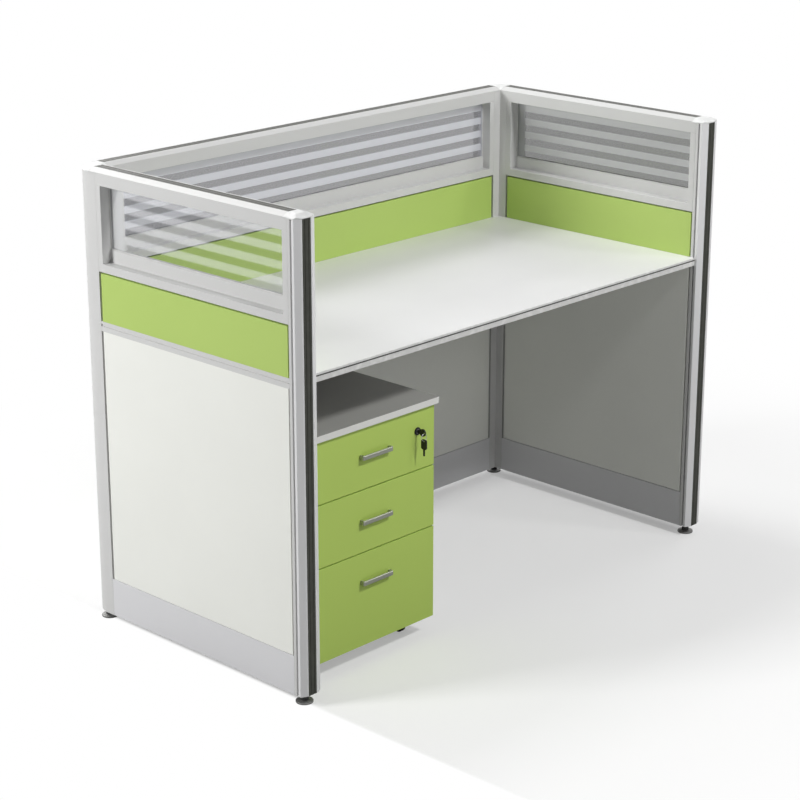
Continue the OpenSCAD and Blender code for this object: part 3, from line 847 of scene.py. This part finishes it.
@dataclass
class Walls:
    """The three partition walls with their posts, rails, windows and boards; an edge is a bevel's width."""

    shop: Workshop
    post_edge: float = 1.0 * MM
    cap_edge: float = 1.2 * MM
    rail_edge: float = 0.8 * MM
    frame_edge: float = 0.8 * MM
    board_edge: float = 0.6 * MM
    skirting_edge: float = 1.0 * MM
    strip_edge: float = 0.3 * MM
    strip_rim: float = 2.4 * MM
    strip_channel: float = 0.5 * MM
    strip_wide: float = 9.6 * MM
    pane_seat: float = 4.6 * MM
    pane_let: float = 5.0 * MM
    gasket_w: float = 1.8 * MM
    gasket_t: float = 1.7 * MM
    gasket_edge: float = 0.6 * MM

    def build(self) -> None:
        """Builds and dresses the walls."""
        for corner in Corner:
            self.shop.softened(f"{corner.value}_post", self.post_edge)
        self.shop.softened("end_covers", self.rail_edge)
        self.shop.softened("post_caps", self.cap_edge, 3)
        self.lay_strips()
        for side in Side:
            self.shop.softened(f"{side.word}_top_rail", self.rail_edge)
            self.shop.softened(f"{side.word}_window_frame", self.frame_edge)
            node = f"{side.word}_glass"
            self.shop.repaint(node, side.pane)
            self.shop.piece(self.gasket(side), f"{side.word}_gaskets", GASKET_RUBBER, BODY_OF[node],
                            "frame_grey")
        self.shop.softened("green_tiles", self.board_edge)
        self.shop.softened("wall_boards", self.board_edge)
        self.shop.softened("transom_rails", self.strip_edge)
        self.shop.softened("skirtings", self.skirting_edge)
        self.shop.repaint("wall_cores", CORE_METAL)

    def lay_strips(self) -> None:
        """Gives the black strips a shallow channel between two lips, as an extrusion has."""
        mesh = self.shop.copy_of("black_strips")
        for way in ((0, 0, 1), (0, -1, 0)):
            self.shop.recess(mesh, way, self.strip_rim, self.strip_channel,
                             lambda face: min(self.spans(face)) > self.strip_wide)
        self.shop.soften(mesh, self.strip_edge)
        self.shop.stand_in(mesh, "black_strips")

    def gasket(self, side: Side) -> Mesh:
        """The two rubber frames that hold a pane in its window.

        Args:
            side: The wall.

        Returns:
            Both frames, one on each face of the pane.
        """
        low, high = (Vector(corner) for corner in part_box(f"{side.word}_glass"))
        run, across = (0, 1) if side is Side.REAR else (1, 0)
        length = high[run] - low[run] - 2 * self.pane_seat - 2 * HAIR
        height = high.z - low.z - self.pane_seat - self.pane_let - 2 * HAIR
        middle = (low + high) / 2
        middle.z += (self.pane_let - self.pane_seat) / 2
        frames = []
        for way in (-1, 1):
            mesh = bmesh.new()
            bmesh.ops.create_grid(mesh, x_segments=1, y_segments=1, size=0.5)
            bmesh.ops.scale(mesh, vec=(length, height, 1), verts=mesh.verts)
            bmesh.ops.inset_region(mesh, faces=mesh.faces[:], thickness=self.gasket_w, use_boundary=True,
                                   use_even_offset=True)
            opening = min(mesh.faces, key=lambda face: face.calc_center_median().length)
            bmesh.ops.delete(mesh, geom=[opening], context="FACES_ONLY")
            raised = bmesh.ops.extrude_face_region(mesh, geom=mesh.faces[:])["geom"]
            lifted = [item for item in raised if isinstance(item, bmesh.types.BMVert)]
            bmesh.ops.translate(mesh, verts=lifted, vec=(0, 0, self.gasket_t))
            self.shop.soften(mesh, self.gasket_edge, 2,
                             lambda edge: all(v.co.z > self.gasket_t / 2 for v in edge.verts))
            spot = middle.copy()
            spot[across] = (low if way < 0 else high)[across] + way * HAIR
            axes = [Vector((0, 0, 0)) for _ in range(3)]
            axes[0][run], axes[1][2], axes[2][across] = 1, 1, way
            turn = Matrix(axes).transposed().to_4x4()
            bmesh.ops.transform(mesh, matrix=Matrix.Translation(spot) @ turn, verts=mesh.verts)
            bmesh.ops.recalc_face_normals(mesh, faces=mesh.faces)
            frames.append(mesh)
        return self.shop.gathered(frames)

    @staticmethod
    def spans(face: bmesh.types.BMFace) -> list[float]:
        """The two longest sides of a face's box.

        Args:
            face: The face.

        Returns:
            The sides in metres, the shorter one first.
        """
        sides = [max(v.co[i] for v in face.verts) - min(v.co[i] for v in face.verts) for i in range(3)]
        return sorted(sides)[1:]


@dataclass
class Desk:
    """The desk top, its edge strip and its brackets; a screw has its head's radius and height in mm."""

    shop: Workshop
    top_edge: float = 0.5 * MM
    strip_edge: float = 0.5 * MM
    bracket_edge: float = 0.5 * MM
    bracket_t: float = 2.5 * MM
    screw_in: float = 10 * MM
    screw_size: tuple[float, float] = (3.2, 1.6)

    def build(self) -> None:
        """Builds and dresses the desk."""
        self.shop.softened("desk_top", self.top_edge)
        self.shop.softened("desk_edge_strip", self.strip_edge, finish=EDGE_BAND)
        self.shop.softened("desk_brackets", self.bracket_edge)
        self.fasten()

    def fasten(self) -> None:
        """Puts two screws in the lower side of each bracket's flat leg."""
        heads = []
        for low, high in self.shop.loose_boxes("desk_brackets"):
            middle = (low + high) / 2
            for shift in (-self.screw_in, self.screw_in):
                seat = Vector((middle.x, middle.y + shift, high.z - self.bracket_t))
                heads.append(self.shop.screw(seat, (0, 0, -1), *self.screw_size))
        body = BODY_OF["desk_brackets"]
        self.shop.piece(self.shop.gathered(heads), "bracket_screws", ZINC, body, "steel")


@dataclass
class Pedestal:
    """The cabinet with its drawers and its lock; a screw has its head's radius and height in mm."""

    shop: Workshop
    board_edge: float = 0.8 * MM
    top_edge: float = 0.4 * MM
    front_edge: float = 0.3 * MM
    box_edge: float = 0.6 * MM
    handle_edge: float = 0.8 * MM
    handle_turn: float = math.radians(40)
    handle_lip: float = 3.0 * MM
    lip_segments: int = 6
    steel_edge: float = 0.4 * MM
    bow_rim: float = 0.7 * MM
    bow_recess: float = 0.4 * MM
    key_edge: float = 0.18 * MM
    runner_rim: float = 5.0 * MM
    runner_channel: float = 2.4 * MM
    runner_holes: Sequence[float] = (0.1, 0.5, 0.9)
    runner_screw: tuple[float, float] = (2.4, 1.2)
    handle_screw: tuple[float, float] = (3.6, 1.8)
    handle_screw_in: float = 3 * MM
    front_t: float = 18 * MM
    box_wall: float = 12 * MM

    def build(self) -> None:
        """Builds and dresses the pedestal."""
        self.build_cabinet()
        for level in Level:
            self.shop.softened(f"{level.value}_drawer_front", self.front_edge)
            self.shop.softened(f"{level.value}_drawer_box", self.box_edge)
            self.shape_handle(f"{level.value}_drawer_handle")
            self.shape_runners(f"{level.value}_drawer_runners")
            self.fasten_handle(level)
        self.build_lock()

    def build_cabinet(self) -> None:
        """Dresses the boards and the steel parts of the cabinet."""
        for board in ("sides", "back", "bottom"):
            self.shop.softened(f"pedestal_{board}", self.board_edge)
        self.shop.softened("pedestal_top", self.top_edge, finish=PEDESTAL_TOP)
        self.shop.softened("cabinet_runners", self.steel_edge)

    def shape_handle(self, node: str) -> None:
        """Gives a bow handle a rounded upper lip and softer edges elsewhere.

        Args:
            node: Name of the handle's CAD node.
        """
        low, high = (Vector(corner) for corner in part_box(node))
        mesh = self.shop.copy_of(node)

        def on_lip(edge: bmesh.types.BMEdge) -> bool:
            """Whether the edge is the bar's upper front edge."""
            return all(vert.co.z > high.z - HAIR and vert.co.y < low.y + HAIR for vert in edge.verts)

        self.shop.soften(mesh, self.handle_lip, self.lip_segments, on_lip)
        self.shop.weld(mesh)
        self.shop.soften(mesh, self.handle_edge, 2,
                         lambda edge: edge.calc_face_angle(0) > self.handle_turn)
        self.shop.weld(mesh)
        self.shop.stand_in(mesh, node)

    def shape_runners(self, node: str) -> None:
        """Gives a drawer's runners a channel in their outer faces, with the heads of their screws in it.

        Args:
            node: Name of the runners' CAD node.
        """
        low, high = (Vector(corner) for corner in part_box(node))
        middle = (low.x + high.x) / 2
        mesh = self.shop.copy_of(node)
        for way in (-1, 1):
            self.shop.recess(mesh, (way, 0, 0), self.runner_rim, self.runner_channel,
                             lambda face: (face.calc_center_median().x - middle) * face.normal.x > 0)
        self.shop.soften(mesh, self.steel_edge)
        self.shop.stand_in(mesh, node)
        heads = []
        for bar_low, bar_high in self.shop.loose_boxes(node):
            way = 1 if bar_low.x > middle else -1
            wall = bar_high.x - self.runner_channel if way > 0 else bar_low.x + self.runner_channel
            for share in self.runner_holes:
                along = bar_low.y + share * (bar_high.y - bar_low.y)
                seat = Vector((wall, along, (bar_low.z + bar_high.z) / 2))
                heads.append(self.shop.screw(seat, (way, 0, 0), *self.runner_screw))
        self.shop.piece(self.shop.gathered(heads), f"{node}_screws", ZINC, BODY_OF[node], "steel")

    def fasten_handle(self, level: Level) -> None:
        """Puts the heads of a handle's two screws behind the drawer front.

        Args:
            level: The drawer.
        """
        node = f"{level.value}_drawer_handle"
        low, high = (Vector(corner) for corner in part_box(node))
        front = Vector(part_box(f"{level.value}_drawer_front")[0]).y
        depth = self.front_t if level is Level.TOP else self.front_t + self.box_wall
        seats = [Vector((x, front + depth, (low.z + high.z) / 2))
                 for x in (low.x + self.handle_screw_in, high.x - self.handle_screw_in)]
        heads = [self.shop.screw(seat, (0, 1, 0), *self.handle_screw) for seat in seats]
        self.shop.piece(self.shop.gathered(heads), f"{node}_screws", ZINC, BODY_OF[node], "steel")

    def build_lock(self) -> None:
        """Dresses the lock, its strike, its keys and their ring."""
        self.shop.softened("lock_strike", self.steel_edge)
        self.shop.softened("lock_barrel", self.steel_edge)
        self.shop.softened("lock_plug", self.steel_edge, finish=LOCK_METAL)
        for node in ("key", "spare_key"):
            low, high = (Vector(corner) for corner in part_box(node))
            mesh = self.shop.copy_of(node)
            self.shop.recess(mesh, (-1, 0, 0), self.bow_rim, self.bow_recess,
                             lambda face: face.calc_center_median().x < low.x + HAIR)
            self.shop.recess(mesh, (1, 0, 0), self.bow_rim, self.bow_recess,
                             lambda face: face.calc_center_median().x > high.x - HAIR)
            self.shop.soften(mesh, self.key_edge, 2, lambda edge: edge.is_convex)
            self.shop.stand_in(mesh, node)
        self.shop.repaint("key_ring", ZINC)


@dataclass
class Castors:
    """The four castors: plates with their screws, forks and wheels turned from an outline in mm."""

    shop: Workshop
    steel_edge: float = 0.4 * MM
    screw_out: float = 14.5 * MM
    plate_t: float = 2 * MM
    tread: Outline = (
        (3.1, -6.5), (6.4, -6.5), (7.2, -5.7), (12.4, -5.7), (13.2, -6.3), (15.4, -6.5), (16.5, -6.1),
        (17, -5.2), (17, 5.2), (16.5, 6.1), (15.4, 6.5), (13.2, 6.3), (12.4, 5.7), (7.2, 5.7), (6.4, 6.5),
        (3.1, 6.5),
    )
    steps: int = 48

    def build(self) -> None:
        """Builds and dresses the castors."""
        self.shop.softened("castor_plates", self.steel_edge)
        self.fasten()
        for corner in Corner:
            self.shop.softened(f"{corner.value}_fork", self.steel_edge)
            node = f"{corner.value}_wheel"
            low, high = (Vector(end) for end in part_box(node))
            wheel = self.shop.turned(self.tread, (low + high) / 2, (1, 0, 0), self.steps, ring=True)
            self.shop.stand_in(wheel, node)

    def fasten(self) -> None:
        """Puts a screw near each corner of each plate."""
        heads = []
        for low, high in self.shop.loose_boxes("castor_plates"):
            middle = (low + high) / 2
            for x in (-self.screw_out, self.screw_out):
                for y in (-self.screw_out, self.screw_out):
                    seat = Vector((middle.x + x, middle.y + y, high.z - self.plate_t))
                    heads.append(self.shop.screw(seat, (0, 0, -1)))
        body = BODY_OF["castor_plates"]
        self.shop.piece(self.shop.gathered(heads), "castor_screws", ZINC, body, "steel")


@dataclass
class Feet:
    """The four levelling feet: a cast disc, a moulded hub, a lock nut and a threaded stem; sizes in mm."""

    shop: Workshop
    disc: Outline = (
        (0, 0), (18.2, 0), (19.4, 0.5), (20, 1.5), (20, 4.0), (19.6, 4.8), (18.8, 5.1), (14, 5.6),
        (9.6, 6.5), (0, 6.5),
    )
    hub: Outline = (
        (0, 6.3), (9.0, 6.3), (9.5, 6.9), (9.4, 9.6), (8.8, 12.2), (7.4, 14.6), (6.2, 15.8), (0, 15.8),
    )
    nut_low: float = 17.2
    nut_high: float = 21.4
    nut_radius: float = 7.2
    stem_low: float = 15.0
    stem_top: float = 55.5
    stem_radius: float = 3.9
    thread_depth: float = 0.6
    pitch: float = 1.25
    nut_edge: float = 0.5
    disc_steps: int = 48
    hub_steps: int = 40
    stem_steps: int = 20

    def build(self) -> None:
        """Builds and dresses the feet."""
        turns = int((self.stem_top - self.stem_low) / self.pitch)
        root = self.stem_radius - self.thread_depth
        thread = [(0.0, self.stem_low)]
        for turn in range(turns):
            start = self.stem_low + turn * self.pitch
            thread += [(root, start), (self.stem_radius, start + self.pitch / 2)]
        thread += [(root, self.stem_top), (0.0, self.stem_top)]
        for corner in Corner:
            node = f"{corner.value}_foot"
            low, high = (Vector(end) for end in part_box(node))
            base = Vector(((low.x + high.x) / 2, (low.y + high.y) / 2, low.z))
            body = BODY_OF[node]
            disc = self.shop.turned(self.disc, base, (0, 0, 1), self.disc_steps)
            self.shop.piece(disc, f"{node}_disc", CAST_ZINC, body, "foot_black", [node])
            hub = self.shop.turned(self.hub, base, (0, 0, 1), self.hub_steps)
            self.shop.piece(hub, f"{node}_hub", FOOT_PLASTIC, body, "foot_black")
            stem = self.shop.turned(thread, base, (0, 0, 1), self.stem_steps)
            self.shop.piece(stem, f"{node}_stem", ZINC, body, "steel")
            self.shop.piece(self.nut(base), f"{node}_nut", ZINC, body, "steel")

    def nut(self, base: Vector) -> Mesh:
        """A hexagonal lock nut on a stem.

        Args:
            base: Middle of the foot on the floor, in metres.

        Returns:
            The nut.
        """
        mesh = bmesh.new()
        middle = base + Vector((0, 0, (self.nut_low + self.nut_high) / 2 * MM))
        bmesh.ops.create_cone(mesh, cap_ends=True, segments=6, radius1=self.nut_radius * MM,
                              radius2=self.nut_radius * MM, depth=(self.nut_high - self.nut_low) * MM,
                              matrix=Matrix.Translation(middle))
        self.shop.soften(mesh, self.nut_edge * MM)
        return mesh


@dataclass(frozen=True)
class FloorPaint(Finish):
    """Pale studio floor: takes the object's shadow near by and fades to white further out; past the left
    wall's outer face it is painted white, as painted light over the shade there.
    """

    near: float = 0.8
    far: float = 2.3
    wash: float = 0.32
    bounce: float = 0.45
    wall: float = 0.70
    soft: float = 0.01
    stretch: Point = (1, 1.25, 1)
    sheen: float = 0.1
    mottle: float = 0.01
    mottle_scale: float = 1.5

    def shader(self, paint: Paint) -> Wire:
        """A diffuse floor that the camera sees fade into the white backdrop.

        Args:
            paint: The material's paint.

        Returns:
            The shader.
        """
        reach = paint.node("ShaderNodeVectorMath", {"operation": "LENGTH"}, {0: paint.place(self.stretch)},
                           out="Value")
        # Past the left wall's outer face the floor is painted white for the camera: painted light over the
        # shade beside the wall.
        painted_light_beside_wall = 1 - paint.axis("X").rise(-self.wall - self.soft, -self.wall + self.soft)
        seen = paint.node("ShaderNodeLightPath", out="Is Camera Ray")
        white_share = reach.rise(self.near, self.far) + painted_light_beside_wall
        white_share = self.wash + white_share.rise(0, 1) * (1 - self.wash)
        bounce = (self.bounce,) * 3
        mottles = paint.noise(self.mottle_scale, 2)
        pale = paint.mix(mottles, self.shifted(-self.mottle), self.shifted(self.mottle))
        diffuse = paint.node("ShaderNodeBsdfPrincipled", values={
            "Base Color": paint.mix(seen, bounce, pale),
            "Roughness": self.rough, "Specular IOR Level": self.sheen,
        })
        white = paint.node("ShaderNodeEmission", values={"Color": WHITE, "Strength": 1.0})
        return paint.node("ShaderNodeMixShader", values={0: white_share * seen, 1: diffuse, 2: white})


@dataclass(frozen=True)
class Lamp:
    """A square studio lamp.

    Its azimuth in degrees is 0 in front, 90 on the right and 180 behind. A level of 1 lights a white
    surface that faces it to white. A gloss-only lamp is a card that shows in reflections alone.
    """

    name: str
    azimuth: float
    elevation: float
    side: float
    level: float
    gloss_only: bool = False


@dataclass
class Studio:
    """Floor, lamps, sky and camera."""

    floor: FloorPaint = FloorPaint("floor_paint", (0.93, 0.93, 0.93), 0.9)
    floor_half: float = 14
    ambient: float = 0.10
    aim: Point = (0, 0, 0.6)
    reach: float = 4.5
    lamps: Sequence[Lamp] = (
        Lamp("left_lamp", -112, 21, 1.1, 0.57),
        Lamp("rear_lamp", 180, 32, 1.0, 0.30),
        Lamp("high_rear_lamp", 180, 60, 1.2, 0.27),
        Lamp("front_lamp", 8, 46, 0.5, 0.42),
        Lamp("low_front_lamp", 10, 25, 1.2, 0.08),
        Lamp("right_front_lamp", 35, 42, 0.4, 0.09),
        Lamp("right_lamp", 90, 40, 1.6, 0.12),
        Lamp("gloss_card", 160, 18, 1.4, 0.06, gloss_only=True),
    )
    eye: Point = (-3.6931, -3.4958, 2.1427)
    yaw: float = 43.737
    pitch: float = 18.335
    lens: float = 97.59
    sensor: float = 36.0

    def build(self) -> None:
        """Sets up the whole studio."""
        self.lay_floor()
        for lamp in self.lamps:
            self.hang(lamp)
        self.fill_sky()
        self.stand_camera()
        bpy.context.scene.view_settings.view_transform = "Standard"

    def lay_floor(self) -> None:
        """Makes the floor."""
        mesh = bmesh.new()
        bmesh.ops.create_grid(mesh, x_segments=4, y_segments=4, size=self.floor_half)
        data = bpy.data.meshes.new("floor")
        mesh.to_mesh(data)
        mesh.free()
        data.materials.append(self.floor.material())
        floor = bpy.data.objects.new("floor", data)
        bpy.context.scene.collection.objects.link(floor)

    def hang(self, lamp: Lamp) -> None:
        """Hangs one lamp.

        Args:
            lamp: The lamp to hang.
        """
        turn, lift = math.radians(lamp.azimuth), math.radians(lamp.elevation)
        away = Vector((math.sin(turn) * math.cos(lift), -math.cos(turn) * math.cos(lift), math.sin(lift)))
        light = bpy.data.lights.new(lamp.name, "AREA")
        light.shape, light.size = "SQUARE", lamp.side
        light.energy = lamp.level * (math.pi * self.reach) ** 2
        light.diffuse_factor = 0.0 if lamp.gloss_only else 1.0
        hung = bpy.data.objects.new(lamp.name, light)
        bpy.context.scene.collection.objects.link(hung)
        hung.location = Vector(self.aim) + away * self.reach
        hung.rotation_euler = away.to_track_quat("Z", "Y").to_euler()

    def fill_sky(self) -> None:
        """Fills the world: plain soft light, and white where the camera, metal or glass sees it."""
        world = bpy.data.worlds.new("studio")
        bpy.context.scene.world = world
        paint = Paint(world)
        seen = [paint.node("ShaderNodeLightPath", out=kind)
                for kind in ("Is Camera Ray", "Is Glossy Ray", "Is Transmission Ray")]
        bright = (seen[0] + seen[1] + seen[2]).rise(0, 1)
        sky = paint.node("ShaderNodeBackground", values={
            "Color": WHITE, "Strength": self.ambient + bright * (1 - self.ambient)})
        paint.finish(sky, "ShaderNodeOutputWorld")

    def stand_camera(self) -> None:
        """Stands the camera at the photograph's viewing angle."""
        data = bpy.data.cameras.new("camera")
        data.lens, data.sensor_width = self.lens, self.sensor
        camera = bpy.data.objects.new("camera", data)
        bpy.context.scene.collection.objects.link(camera)
        camera.location = self.eye
        camera.rotation_euler = (math.radians(90 - self.pitch), 0, math.radians(self.yaw - 90))
        bpy.context.scene.camera = camera


def main() -> None:
    """Builds the assemblies in order, then the studio."""
    logging.basicConfig(level=logging.INFO, format="%(name)s: %(message)s")
    shop = Workshop()
    for assembly in (Walls(shop), Desk(shop), Pedestal(shop), Castors(shop), Feet(shop)):
        assembly.build()
    Studio().build()
    LOG.info("%d pieces made", len(shop.made))


if __name__ == "__main__":
    main()
